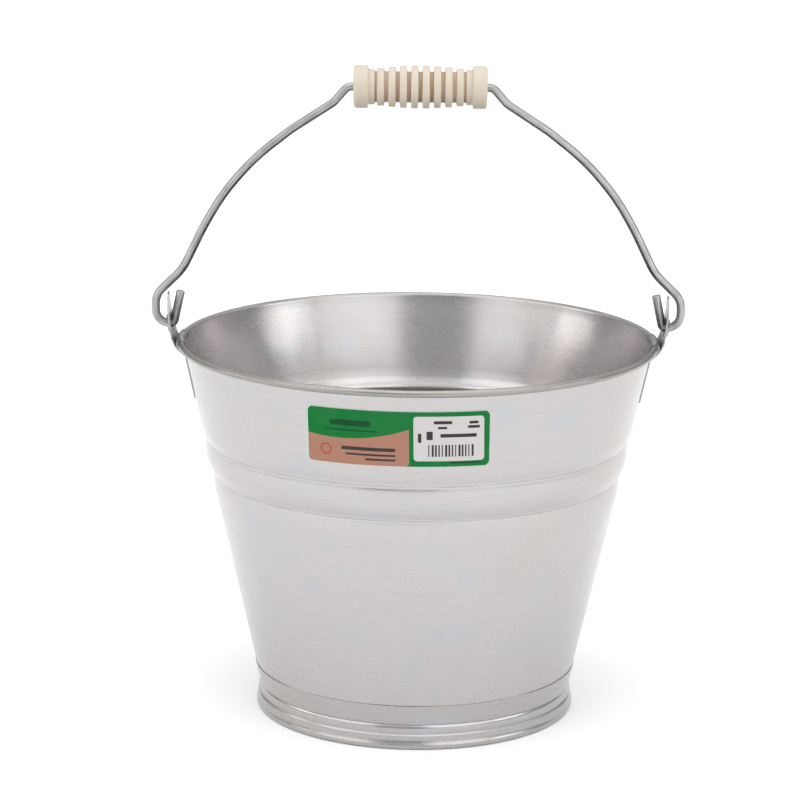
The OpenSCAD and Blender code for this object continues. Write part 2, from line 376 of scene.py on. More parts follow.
class Tree:
    """A material's node tree, with short calls for the nodes that the finishes use."""

    def __init__(self, name: str) -> None:
        """Starts an empty material.

        Args:
            name: The material's name.
        """
        self.material = bpy.data.materials.new(name)
        self.material.use_nodes = True
        self.nodes = self.material.node_tree.nodes
        self.links = self.material.node_tree.links
        self.nodes.clear()
        self.spot = 0

    def node(self, kind: str, inputs: Optional[dict] = None, **settings) -> bpy.types.Node:
        """Adds a node.

        Args:
            kind: Its type, without the ShaderNode prefix.
            inputs: Values or sockets for its inputs, by name or index.
            **settings: Its other settings.

        Returns:
            The node.
        """
        made = self.nodes.new("ShaderNode" + kind)
        made.location = (220 * (self.spot % 12), -260 * (self.spot // 12))
        self.spot += 1
        for setting, value in settings.items():
            setattr(made, setting, value)
        for key, value in (inputs or {}).items():
            if isinstance(value, bpy.types.NodeSocket):
                self.links.new(value, made.inputs[key])
            else:
                made.inputs[key].default_value = value
        return made

    def place(self, scale: Sequence[float] = (1, 1, 1), shift: Sequence[float] = (0, 0, 0)) -> Socket:
        """Object coordinates, shifted and then stretched."""
        source = self.node("TexCoord").outputs["Object"]
        return self.vector("MULTIPLY", self.vector("ADD", source, tuple(shift)), tuple(scale))

    def noise(self, where: Socket, scale: float, detail: float = 2, roughness: float = 0.5) -> Socket:
        """Smooth noise between 0 and 1."""
        inputs = {"Vector": where, "Scale": scale, "Detail": detail, "Roughness": roughness}
        return self.node("TexNoise", inputs).outputs["Fac"]

    def math(self, operation: str, a: object, b: object = 0.0, clamp: bool = False) -> Socket:
        """One arithmetic step."""
        return self.node("Math", {0: a, 1: b}, operation=operation, use_clamp=clamp).outputs[0]

    def vector(self, operation: str, a: object, b: object = (0, 0, 0)) -> Socket:
        """One step of vector arithmetic."""
        return self.node("VectorMath", {0: a, 1: b}, operation=operation).outputs[0]

    def length(self, a: Socket) -> Socket:
        """A vector's length."""
        return self.node("VectorMath", {0: a}, operation="LENGTH").outputs["Value"]

    def span(self, value: Socket, low: float, high: float, start: float = 0, end: float = 1) -> Socket:
        """A smooth step: start up to low, end from high on."""
        inputs = {"Value": value, 1: low, 2: high, 3: start, 4: end}
        return self.node("MapRange", inputs, interpolation_type="SMOOTHSTEP").outputs[0]

    def mix(self, factor: object, a: object, b: object) -> Socket:
        """A blend of two colours."""
        made = self.node("Mix", data_type="RGBA")
        for socket, value in ((made.inputs[0], factor), (made.inputs[6], a), (made.inputs[7], b)):
            if isinstance(value, bpy.types.NodeSocket):
                self.links.new(value, socket)
            elif socket.type == "RGBA":
                socket.default_value = (*value, 1)
            else:
                socket.default_value = value
        return made.outputs[2]

    def bump(self, height: Socket, distance: float) -> Socket:
        """A bump of a given depth in metres."""
        return self.node("Bump", {"Height": height, "Strength": 1.0, "Distance": distance}).outputs[0]

    def surface(self, inputs: dict) -> bpy.types.Material:
        """Ends the tree in a Principled shader.

        Args:
            inputs: Values or sockets for its inputs.

        Returns:
            The material.
        """
        shader = self.node("BsdfPrincipled", inputs)
        output = self.node("OutputMaterial")
        self.links.new(shader.outputs[0], output.inputs[0])
        return self.material


def linear(colour: str) -> Colour:
    """A colour code such as c3c6c8 as linear red, green and blue."""
    parts = [int(colour[i : i + 2], 16) / 255 for i in (0, 2, 4)]
    return tuple(p / 12.92 if p < 0.04045 else ((p + 0.055) / 1.055) ** 2.4 for p in parts)


@dataclass(frozen=True)
class GalvanisedSheet:
    """Zinc on rolled sheet: satin, with a fine level grain, faint cloudy patches, painted shade along its
    creases and a painted dark reflection on the rolled rim.
    """

    name: str
    base: Colour = (0.495, 0.468, 0.47)
    cool: Colour = (0.452, 0.468, 0.503)
    warm: Colour = (0.492, 0.455, 0.437)
    # Colour of the dark specks, and of the painted shade along the creases
    dirt_and_crease_shade: Colour = (0.13, 0.12, 0.11)
    rough: float = 0.24
    grain: float = 0.0000035
    creases: tuple[float, ...] = ()
    crease_width: float = 0.0005
    rim_height: float = 1.0
    rim_radius: float = 0.125
    curl_reach: tuple[float, float] = (0.0036, 0.003)
    curl_drop: tuple[float, float] = (0.0045, 0.0036)
    # Colour of the painted dark reflection on the rolled rim
    rim_painted_reflection: Colour = (0.27, 0.25, 0.23)

    def build(self) -> bpy.types.Material:
        """The material."""
        tree = Tree(self.name)
        dashes = tree.noise(tree.place((300, 300, 2600), (0.3, 0.1, 0)), 1, 3, 0.55)
        level = tree.noise(tree.place((35, 35, 900)), 1, 2, 0.5)
        clouds = tree.noise(tree.place((1, 1, 1.3)), 38, 4, 0.6)
        drift = tree.noise(tree.place((1, 1, 0.8), (0.7, 0.2, 0.4)), 11, 3, 0.5)
        fine = tree.noise(tree.place((1, 1, 1)), 1100, 2, 0.5)
        colour = tree.mix(tree.math("MULTIPLY", tree.span(clouds, 0.54, 0.7), 0.8), self.base, self.cool)
        colour = tree.mix(tree.math("MULTIPLY", tree.span(drift, 0.5, 0.8), 0.7), colour, self.warm)
        streak = tree.span(level, 0.3, 0.75, 0.985, 1.015)
        dash = tree.span(dashes, 0.3, 0.7, 0.955, 1.035)
        shade = tree.math("MULTIPLY", streak, dash)
        colour = tree.node("VectorMath", {0: colour, 1: (1, 1, 1), 3: shade}, operation="SCALE").outputs[0]
        specks = tree.math("MULTIPLY", tree.span(tree.noise(tree.place(), 520, 1, 0.4), 0.85, 0.865), 0.4)
        colour = tree.mix(specks, colour, self.dirt_and_crease_shade)
        height = tree.node("SeparateXYZ", {0: tree.place()}).outputs[2]
        broken = tree.noise(tree.place((1, 1, 0.2), (0.1, 0.5, 0.9)), 60, 3)
        # Painted shade: a broken dark line along each crease, where the sheet folds in
        for crease in self.creases:
            away = tree.math("ABSOLUTE", tree.math("SUBTRACT", height, crease))
            kept = tree.span(broken, 0.25, 0.7, 0.12, 0.45)
            crease_shade = tree.math("MULTIPLY", tree.span(away, 0, self.crease_width, 1, 0), kept)
            colour = tree.mix(crease_shade, colour, self.dirt_and_crease_shade)
        # Painted reflection: the rolled rim is darkened towards tan grey, broken up by noise, standing in for
        # the bead's darker reflection
        rim_reflection_breakup = tree.noise(tree.place((70, 70, 5200)), 1, 3, 0.6)
        outer, top = self.rim_radius, self.rim_height
        at_rim = tree.span(height, top - self.curl_drop[0], top - self.curl_drop[1])
        across = tree.length(tree.place((1, 1, 0)))
        on_curl = tree.span(across, outer - self.curl_reach[0], outer - self.curl_reach[1])
        at_rim = tree.math("MULTIPLY", at_rim, on_curl)
        at_rim = tree.math("MULTIPLY", at_rim, tree.span(rim_reflection_breakup, 0.3, 0.7, 0.55, 1.0))
        colour = tree.mix(at_rim, colour, self.rim_painted_reflection)
        rough = tree.span(clouds, 0.3, 0.7, self.rough + 0.03, self.rough - 0.03)
        rough = tree.math("ADD", rough, tree.span(dashes, 0.3, 0.7, -0.03, 0.03))
        rough = tree.math("ADD", rough, tree.math("MULTIPLY", at_rim, 0.08))
        relief = tree.math("ADD", tree.math("MULTIPLY", dashes, 0.8), tree.math("MULTIPLY", level, 1.2))
        relief = tree.math("ADD", relief, tree.math("MULTIPLY", fine, 0.5))
        normal = tree.bump(relief, self.grain)
        return tree.surface({"Base Color": colour, "Metallic": 1.0, "Roughness": rough, "Normal": normal})


@dataclass(frozen=True)
class GalvanisedWire:
    """Drawn and galvanised wire, with streaks along its length."""

    name: str
    base: Colour = (0.4, 0.4, 0.4)
    dark: Colour = (0.15, 0.15, 0.155)
    rough: float = 0.33

    def build(self) -> bpy.types.Material:
        """The material. It reads the piece's UV map: round the wire, and along it in metres."""
        tree = Tree(self.name)
        sheet = tree.node("UVMap", uv_map="along").outputs[0]
        drawn = tree.vector("MULTIPLY", sheet, (14, 90, 1))
        streaks = tree.noise(drawn, 1, 4, 0.6)
        blotches = tree.noise(tree.place(), 180, 4, 0.6)
        fine = tree.noise(tree.place(), 1500, 2, 0.5)
        factor = tree.math("MULTIPLY", tree.span(streaks, 0.42, 0.75), tree.span(blotches, 0.35, 0.7, 0.3, 1))
        colour = tree.mix(factor, self.base, self.dark)
        rough = tree.span(blotches, 0.3, 0.7, self.rough - 0.07, self.rough + 0.1)
        relief = tree.math("ADD", streaks, tree.math("MULTIPLY", fine, 0.4))
        normal = tree.bump(relief, 0.00003)
        return tree.surface({"Base Color": colour, "Metallic": 1.0, "Roughness": rough, "Normal": normal})


@dataclass(frozen=True)
class MouldedPlastic:
    """Ivory plastic, with painted shade darker down in the grooves."""

    name: str
    axis_height: float
    groove_radius: float
    rib_radius: float
    ivory: Colour = linear("c1b6a6")
    shade: Colour = linear("b8987a")

    def build(self) -> bpy.types.Material:
        """The material."""
        tree = Tree(self.name)
        across = tree.place((0, 1, 1), (0, 0, -self.axis_height))
        radius = tree.length(across)
        mottle = tree.noise(tree.place((1, 1, 1)), 140, 3, 0.6)
        fine = tree.noise(tree.place(), 1300, 3, 0.6)
        # Painted shade: darker towards the grooves' floor, by distance from the axis
        depth = tree.span(radius, self.groove_radius, self.rib_radius, 0.75, 0)
        depth = tree.math("MULTIPLY", depth, tree.span(mottle, 0.2, 0.7, 0.75, 1.1), clamp=True)
        colour = tree.mix(depth, self.ivory, self.shade)
        worn = tree.math("MULTIPLY", tree.span(mottle, 0.55, 0.8), 0.12)
        colour = tree.mix(worn, colour, self.shade)
        rough = tree.span(fine, 0.3, 0.7, 0.33, 0.45)
        relief = tree.math("ADD", tree.math("MULTIPLY", mottle, 1.2), tree.math("MULTIPLY", fine, 0.3))
        normal = tree.bump(relief, 0.00006)
        return tree.surface({
            "Base Color": colour, "Roughness": rough, "Normal": normal, "IOR": 1.49,
            "Subsurface Weight": 0.15, "Subsurface Radius": (1.0, 0.7, 0.45), "Subsurface Scale": 0.003,
        })


@dataclass(frozen=True)
class Patch:
    """A rounded rectangle of ink on the label, in metres from its lower left corner."""

    left: float
    low: float
    width: float
    height: float
    corner: float = 0.0004


@dataclass(frozen=True)
class PrintedLabel:
    """A glossy printed sticker: a green ground, a tan field, a white panel and plain bars."""

    name: str
    width: float
    height: float
    border: float = 0.00025
    ink_edge: float = 0.00006
    ring_place: Point = (0.0098, 0.0074)
    ring_radius: float = 0.0026
    paper: Colour = linear("b0c2b4")
    green: Colour = linear("02672c")
    deep_green: Colour = linear("04401f")
    tan: Colour = linear("9c6f5e")
    rust: Colour = linear("983228")
    panel: Colour = linear("bcb7b8")
    ink: Colour = linear("322e2e")

    def mask(self, tree: Tree, where: Socket, patch: Patch) -> Socket:
        """The ink mask of a patch.

        Args:
            tree: The material's tree.
            where: Place on the label in metres.
            patch: The patch.

        Returns:
            1 inside and 0 outside.
        """
        half = Vector((patch.width / 2, patch.height / 2, 0))
        centre = Vector((patch.left, patch.low, 0)) + half
        core = half - Vector((patch.corner, patch.corner, -1))
        away = tree.vector("ABSOLUTE", tree.vector("ADD", where, -centre))
        away = tree.vector("MAXIMUM", tree.vector("SUBTRACT", away, core))
        return tree.span(tree.length(away), patch.corner, patch.corner + self.ink_edge, 1, 0)

    def build(self) -> bpy.types.Material:
        """The material. It reads the piece's UV map, in metres on the sticker."""
        tree = Tree(self.name)
        where = tree.node("UVMap", uv_map="print").outputs[0]
        axes = tree.node("SeparateXYZ", {0: where})
        across, up = axes.outputs[0], axes.outputs[1]
        edge = self.border
        ground = Patch(edge, edge, self.width - 2 * edge, self.height - 2 * edge, 0.0026)
        colour = tree.mix(self.mask(tree, where, ground), self.paper, self.green)
        # The tan field's upper edge sags on the left and sweeps up to the right
        sag = tree.math("MULTIPLY", tree.math("MULTIPLY", across, across), 0.47 / self.width)
        lift = tree.math("ADD", sag, tree.math("MULTIPLY", across, -0.174))
        top = tree.math("ADD", lift, 0.52 * self.height)
        below = tree.math("SUBTRACT", top, up)
        field_patch = Patch(edge, edge, 0.557 * self.width, self.height - 2 * edge, 0.0022)
        tan = tree.math("MULTIPLY", self.mask(tree, where, field_patch), tree.span(below, 0, 0.00008))
        colour = tree.mix(tan, colour, self.tan)
        panel = Patch(0.584 * self.width, 0.11 * self.height, 0.378 * self.width, 0.8 * self.height, 0.0017)
        colour = tree.mix(self.mask(tree, where, panel), colour, self.panel)
        for patch, ink in self.bars():
            colour = tree.mix(self.mask(tree, where, patch), colour, ink)
        ring = tree.length(tree.vector("ADD", where, (-self.ring_place[0], -self.ring_place[1], 0)))
        ring = tree.math("ABSOLUTE", tree.math("SUBTRACT", ring, self.ring_radius))
        colour = tree.mix(tree.span(ring, 0.00025, 0.00035, 1, 0), colour, self.rust)
        fade = tree.span(tree.noise(tree.place(), 90, 4), 0.35, 0.75, 0, 0.02)
        colour = tree.mix(fade, colour, self.paper)
        fine = tree.noise(tree.place(), 700, 3)
        rough = tree.span(fine, 0.3, 0.7, 0.3, 0.4)
        normal = tree.bump(fine, 0.00001)
        return tree.surface({
            "Base Color": colour, "Roughness": rough, "Normal": normal, "Specular IOR Level": 0.12,
        })

    def bars(self) -> list[tuple[Patch, Colour]]:
        """The plain bars that stand where a maker prints its words."""
        rows = []
        table = (
            (self.deep_green, 0.012, 0.0205, 0.021, 0.003, 0.0014),
            (self.deep_green, 0.01, 0.0178, 0.0265, 0.0007, 0.0003),
            (self.ink, 0.018, 0.0078, 0.027, 0.0018, 0.0004),
            (self.ink, 0.02, 0.0052, 0.025, 0.001, 0.0004),
            (self.ink, 0.03, 0.0028, 0.015, 0.001, 0.0004),
            (self.ink, 0.064, 0.0228, 0.009, 0.0016, 0.0004),
            (self.ink, 0.066, 0.0202, 0.0045, 0.0012, 0.0004),
            (self.ink, 0.0815, 0.0228, 0.0046, 0.0014, 0.0004),
            (self.ink, 0.0808, 0.0205, 0.006, 0.0014, 0.0004),
            (self.ink, 0.0562, 0.013, 0.0016, 0.0048, 0.0004),
            (self.ink, 0.0604, 0.0145, 0.003, 0.0044, 0.0004),
            (self.ink, 0.0672, 0.0158, 0.018, 0.0018, 0.0004),
            (self.deep_green, 0.072, 0.0018, 0.015, 0.0008, 0.0004),
        )
        for ink, *place in table:
            rows.append((Patch(*place), ink))
        for index in range(14):
            width = 0.0005 + 0.0005 * ((index * 3) % 4) / 3
            rows.append((Patch(0.0612 + 0.00165 * index, 0.0056, width, 0.0062, 0.00005), self.ink))
        return rows


@dataclass
class Studio:
    """Camera, floor and light."""

    eye: Vector = field(default_factory=lambda: Vector((0, -1.64986, 0.54653)))
    yaw: float = -0.0054616
    pitch: float = 0.2280182
    roll: float = 0.0091918
    lens: float = 145.715
    floor_radius: float = 14
    sky_top: float = 0.6
    sky_low: float = 0.33
    sky_high: float = 1.05
    # Name, centre, size and power of each softbox
    softboxes: tuple[tuple, ...] = (
        ("left_light", (-2.05, -1.6, 1.05), (2.2, 1.8), 13),
        ("right_light", (1.38, -2.2, 1.05), (2.2, 1.8), 14),
        ("left_glow", (-2.5, 0.0, 0.75), (1.1, 0.7), 5),
        ("right_glow", (2.4, -0.78, 0.75), (1.3, 0.7), 6),
    )

    def camera(self) -> None:
        """The camera, a little above the rim and looking down at the front."""
        ahead = Vector((
            math.sin(self.yaw) * math.cos(self.pitch),
            math.cos(self.yaw) * math.cos(self.pitch),
            -math.sin(self.pitch),
        ))
        level = Vector((math.cos(self.yaw), -math.sin(self.yaw), 0))
        above = level.cross(ahead)
        right = math.cos(self.roll) * level + math.sin(self.roll) * above
        up = math.cos(self.roll) * above - math.sin(self.roll) * level
        lens = bpy.data.cameras.new("camera")
        lens.lens = self.lens
        lens.sensor_width = 36
        lens.clip_end = 60
        view = bpy.data.objects.new("camera", lens)
        view.matrix_world = Matrix.Translation(self.eye) @ Matrix((right, up, -ahead)).transposed().to_4x4()
        bpy.context.scene.collection.objects.link(view)
        bpy.context.scene.camera = view

    def floor(self) -> None:
        """A plain pale floor that runs past every view."""
        Bench.clear()
        bpy.ops.mesh.primitive_circle_add(vertices=96, radius=self.floor_radius, fill_type="NGON")
        floor = Bench.take("studio_floor")
        tree = Tree("pale_floor")
        mottle = tree.noise(tree.place(), 3, 2)
        colour = tree.mix(mottle, (0.9, 0.9, 0.905), (0.92, 0.92, 0.925))
        paint = tree.surface({"Base Color": colour, "Roughness": 0.9, "Specular IOR Level": 0.1})
        floor.data.materials.append(paint)

    def softbox(self, name: str, place: Sequence[float], size: Sequence[float], power: float) -> None:
        """An area light that faces the bucket.

        Args:
            name: The light's name.
            place: Its centre.
            size: Its width and height.
            power: Its power in watts.
        """
        light = bpy.data.lights.new(name, "AREA")
        light.shape = "RECTANGLE"
        light.size, light.size_y = size
        light.energy = power
        lamp = bpy.data.objects.new(name, light)
        lamp.location = place
        lamp.rotation_euler = (Vector(place) - Vector((0, 0, 0.15))).to_track_quat("Z", "Y").to_euler()
        bpy.context.scene.collection.objects.link(lamp)

    def overhead(self) -> None:
        """A very wide, soft light from above, the same all over the floor."""
        light = bpy.data.lights.new("overhead_light", "SUN")
        light.energy = 1.2
        light.angle = math.radians(75)
        lamp = bpy.data.objects.new("overhead_light", light)
        lamp.rotation_euler = (math.radians(8), 0, 0)
        bpy.context.scene.collection.objects.link(lamp)

    def sky(self) -> None:
        """Surrounding light of a white room: dim near the horizon and bright above."""
        world = bpy.data.worlds.new("studio")
        bpy.context.scene.world = world
        world.use_nodes = True
        nodes, links = world.node_tree.nodes, world.node_tree.links
        direction = nodes.new("ShaderNodeTexCoord").outputs["Generated"]
        axes = nodes.new("ShaderNodeSeparateXYZ")
        links.new(direction, axes.inputs[0])
        rise = nodes.new("ShaderNodeMapRange")
        rise.interpolation_type = "SMOOTHSTEP"
        for index, value in ((1, 0.0), (2, self.sky_top), (3, self.sky_low), (4, self.sky_high)):
            rise.inputs[index].default_value = value
        links.new(axes.outputs[2], rise.inputs[0])
        background = nodes["Background"]
        background.inputs["Color"].default_value = (0.975, 1.0, 0.99, 1)
        links.new(rise.outputs[0], background.inputs["Strength"])

    def build(self) -> None:
        """Sets up the whole studio."""
        self.camera()
        self.floor()
        self.sky()
        self.overhead()
        for box in self.softboxes:
            self.softbox(*box)
        bpy.context.scene.view_settings.view_transform = "Standard"
        log.info("studio: camera, floor and lights")


@dataclass
class Pail:
    """The body with its rolled rim, its floor and its foot."""

    rim_radius: float
    rim_height: float
    foot_radius: float = 0.0838
    sheet: float = 0.0004
    curl_radius: float = 0.0018
    play: float = 0.00002
    lower_taper: float = 0.2288
    upper_taper: float = 0.2155
    ring_height: float = 0.0235
    lock_height: float = 0.0128
    crease_low: float = 0.1266
    crease_high: float = 0.1452
    crease_depth: float = 0.00175
    band_bow: float = 0.0016
    foot_roll: float = 0.00175
    foot_flat: float = 0.001
    waviness: float = 0.00022
    steps: int = 256
    body: Optional[bpy.types.Object] = None

    @property
    def curl_centre(self) -> Point:
        """Centre of the rolled rim."""
        return (self.rim_radius - self.curl_radius, self.rim_height - self.curl_radius)

    def lower_radius(self, height: float) -> float:
        """Outside of the wall below the band."""
        return self.foot_radius + 0.0003 + self.lower_taper * (height - self.ring_height)

    def upper_radius(self, height: float) -> float:
        """Outside of the wall above the band."""
        centre, level = self.curl_centre
        return centre - self.curl_radius + self.sheet - self.upper_taper * (level - height)

    def stretch(self, radius: Callable[[float], float], low: float, high: float, steps: int) -> list[Point]:
        """A straight length of wall, in short steps so that it can be dented."""
        heights = [low + (high - low) * step / steps for step in range(steps + 1)]
        return [(radius(height), height) for height in heights]

    def wall_line(self) -> list[Point]:
        """The section of the wall's outside, from the tuck inside the foot to the rim."""
        neck = self.lock_height + 0.0027
        lock_radius = self.foot_radius - 0.00185 - self.sheet - self.play
        low = (self.lower_radius(self.crease_low) - self.crease_depth, self.crease_low)
        high = (self.upper_radius(self.crease_high) - self.crease_depth + 0.0006, self.crease_high)
        roll, shoulder = self.crease_low - 0.0098, self.crease_high + 0.0064
        line = [(lock_radius - 0.0003, self.lock_height - 0.0043), (lock_radius, self.lock_height)]
        line += self.stretch(self.lower_radius, neck, self.ring_height, 2)
        line += self.stretch(self.lower_radius, self.ring_height, roll, 16)[1:]
        line += bow((self.lower_radius(roll), roll), (low[0] + 0.00028, low[1] - 0.0015), 0.00025, 6)[1:]
        line += [low]
        band_low, band_high = (low[0] + 0.00022, low[1] + 0.0009), (high[0] + 0.0003, high[1] - 0.0015)
        line += bow(band_low, band_high, self.band_bow, 16)
        line += [high]
        leave = (high[0] + 0.00042, high[1] + 0.0013)
        line += bow(leave, (self.upper_radius(shoulder), shoulder), 0.00015, 5)
        line += self.stretch(self.upper_radius, shoulder, self.curl_centre[1], 9)[1:]
        return line

    def sheet_body(self, finish: bpy.types.Material) -> None:
        """The body sheet, dented a little, with its rim rolled over the wire and its seam up the back."""
        middle = self.curl_radius - self.sheet
        line = self.wall_line() + arc(self.curl_centre, middle, 180, -148, 22)[1:]
        body = Bench.lathe("pail_body", line, self.steps)
        Bench.face_out(body, lambda place: Vector((place.x, place.y, 0)))
        group = body.vertex_groups.new(name="soft_wall")
        low, high = self.ring_height + 0.004, self.curl_centre[1] - 0.006
        for vertex in body.data.vertices:
            room = min(vertex.co.z - low, high - vertex.co.z) / 0.02
            group.add([vertex.index], max(0.0, min(1.0, room)), "REPLACE")
        for name, size, depth in (("slow", 0.045, self.waviness), ("quick", 0.014, self.waviness * 0.22)):
            texture = bpy.data.textures.new("wall_" + name, "CLOUDS")
            texture.noise_scale = size
            texture.noise_depth = 1
            Bench.modify(
                body, "DISPLACE", texture=texture, texture_coords="LOCAL", strength=depth, mid_level=0.5,
                vertex_group="soft_wall",
            )
        Bench.modify(body, "SOLIDIFY", thickness=self.sheet, offset=-1, use_even_offset=True)
        Bench.join(body, [self.lock_seam()])
        self.body = body
        Bench.finish(body, Body.BUCKET, "body_shell", Slot.SHEET, finish, 32)

    def lock_seam(self) -> bpy.types.Object:
        """The folded seam up the back: a flat strip with its edges pressed down."""
        top = self.curl_centre[1] - 0.003
        line = [(r + 0.0007, z) for r, z in self.wall_line() if self.ring_height <= z < top]
        line += [(self.upper_radius(top) + 0.0007, top)]
        seam = Bench.strip("lock_seam", line, 88.2, 3.6, 9)
        Bench.face_out(seam, lambda place: Vector((place.x, place.y, 0)))
        with Bench.editing(seam, False):
            Bench.pick(seam, lambda place: abs(math.atan2(place.x, place.y)) > math.radians(1.75))
            bpy.ops.transform.resize(value=(0.993, 0.993, 1), center_override=(0, 0, 0))
        Bench.modify(seam, "SOLIDIFY", thickness=0.00035, offset=-1)
        return seam

    def stiffening_wire(self, finish: bpy.types.Material) -> None:
        """The wire inside the rim: a hoop whose two ends meet at the back."""
        Bench.clear()
        centre, level = self.curl_centre
        radius = self.curl_radius - self.sheet - self.play
        gap = math.radians(0.3)
        bpy.ops.mesh.primitive_circle_add(
            vertices=16, radius=radius, fill_type="NGON", location=(0, centre, level),
            rotation=(0, math.pi / 2, 0),
        )
        hoop = Bench.take("rim_wire_hoop")
        with Bench.editing(hoop):
            bpy.ops.transform.translate(value=(-centre * gap / 2, 0, 0))
            Bench.spin(160, 2 * math.pi - gap, (0, 0, 0), (0, 0, 1))
            bpy.ops.mesh.select_all(action="SELECT")
            bpy.ops.mesh.remove_doubles(threshold=0.00001)
            bpy.ops.mesh.normals_make_consistent(inside=False)
        Bail.lay_print(hoop, [Vector((0, centre, level)), Vector((0, -centre, level))])
        Bench.finish(hoop, Body.BUCKET, "rim_wire", Slot.WIRE, finish)

    def floor_disc(self, finish: bpy.types.Material) -> None:
        """The floor: a disc with a shallow pressed step, turned down into the lock groove."""
        edge = self.foot_radius - 0.00185 - 2 * self.sheet - 2 * self.play
        top = self.lock_height + 0.0002
        line = [(edge - 0.00035, self.lock_height - 0.0043), (edge - 0.00005, self.lock_height - 0.0004)]
        line += arc((edge - 0.0006, top - 0.0006), 0.0006, 10, 90, 5)
        line += [(edge - 0.006, top), (edge - 0.0075, top - 0.0002), (edge - 0.009, top - 0.0006)]
        line += [(edge - 0.0115, top - 0.0009), (edge - 0.02, top - 0.001)]
        line += [(0.05, top - 0.0009), (0.035, top - 0.0008), (0.02, top - 0.0007), (0.006, top - 0.0007)]
        disc = Bench.lathe("floor_disc", line, self.steps)
        with Bench.editing(disc, False):
            Bench.pick(disc, lambda place: math.hypot(place.x, place.y) < 0.007)
            bpy.ops.mesh.extrude_region_move(TRANSFORM_OT_translate={"value": (0, 0, 0)})
            bpy.ops.mesh.merge(type="CENTER")
        Bench.face_out(disc, lambda place: Vector((0, 0, 1)))
        Bench.modify(disc, "SOLIDIFY", thickness=self.sheet, offset=-1, use_even_offset=True)
        Bench.finish(disc, Body.BUCKET, "floor_pan", Slot.SHEET, finish, 32)

    def foot_line(self) -> list[Point]:
        """The section of the foot ring's outside, down to its rolled edge."""
        roll = self.foot_roll
        neck, lock, foot = self.lock_height + 0.0027, self.lock_height, self.foot_radius
        proud = self.play + self.sheet
        inner = (foot - roll - self.foot_flat, roll)
        line = [(self.lower_radius(z) + proud, z) for z in (self.ring_height, self.ring_height - 0.004, neck)]
        line += [(foot - 0.00142, lock + 0.0006), (foot - 0.00172, lock + 0.0002), (foot - 0.00185, lock)]
        line += [(foot - 0.0018, lock - 0.0002)]
        line += bow((foot - 0.0016, lock - 0.0005), (foot - 0.0013, lock - 0.0044), -0.00025, 9)
        line += [(foot - 0.00136, lock - 0.0047), (foot - 0.00118, lock - 0.005)]
        line += bow((foot - 0.0008, lock - 0.0056), (foot, roll + 0.0008), 0.00028, 9)
        line += arc((foot - roll, roll), roll, 0, -90, 8)
        line += arc(inner, roll, -90, -240, 12)
        return line

    def foot_ring(self, finish: bpy.types.Material) -> None:
        """The foot: a hoop locked into the groove, with a short lap at the back."""
        line = self.foot_line()
        ring = Bench.lathe("foot_hoop", line, self.steps)
        Bench.face_out(ring, lambda place: Vector((place.x, place.y, 0)))
        Bench.modify(ring, "SOLIDIFY", thickness=self.sheet, offset=-1, use_even_offset=True)
        upright = [(r + 0.00032, z) for r, z in line if z > 0.0035]
        lap = Bench.strip("foot_lap", upright, 86, 5, 8)
        Bench.face_out(lap, lambda place: Vector((place.x, place.y, 0)))
        Bench.modify(lap, "SOLIDIFY", thickness=0.0003, offset=-1)
        Bench.join(ring, [lap])
        Bench.finish(ring, Body.BUCKET, "foot_ring", Slot.SHEET, finish, 32)

    def build(self) -> None:
        """Makes the pail's four pieces."""
        creases = (self.crease_low, self.crease_high)
        self.sheet_body(GalvanisedSheet("wall_sheet", creases=creases, rim_height=self.rim_height).build())
        self.stiffening_wire(GalvanisedWire("hoop_wire").build())
        self.floor_disc(GalvanisedSheet("floor_sheet", rough=0.28).build())
        # Painted shade: the foot sheet is a darker copy of the wall sheet for the shade low on the pail, with
        # painted shade lines along its two folds
        folds = (self.lock_height, self.lock_height - 0.0048)
        foot = GalvanisedSheet(
            "foot_sheet", base=(0.45, 0.43, 0.425), rough=0.25, creases=folds, crease_width=0.0004
        )
        self.foot_ring(foot.build())


@dataclass
class Ears:
    """The two ears, with their cut edges broken."""

    edge: float = 0.00016

    def build(self) -> None:
        """Finishes a copy of each ear."""
        # Painted shade: the ears take a darker copy of the wall sheet
        finish = GalvanisedSheet("ear_sheet", base=(0.33, 0.325, 0.33), rough=0.3).build()
        for side in Side:
            name = "ear_" + side.name.lower()
            Bench.clear()
            ear = frame["nodes"][name].copy()
            ear.data = ear.data.copy()
            bpy.context.scene.collection.objects.link(ear)
            ear.name = name + "_plate"
            with Bench.editing(ear):
                bpy.ops.mesh.remove_doubles(threshold=0.000005)
                bpy.ops.mesh.dissolve_limited(angle_limit=math.radians(1))
            Bench.modify(
                ear, "BEVEL", width=self.edge, segments=2, limit_method="ANGLE", angle_limit=math.radians(50),
                use_clamp_overlap=True,
            )
            Bench.finish(ear, Body.BUCKET, name, Slot.SHEET, finish, 32)


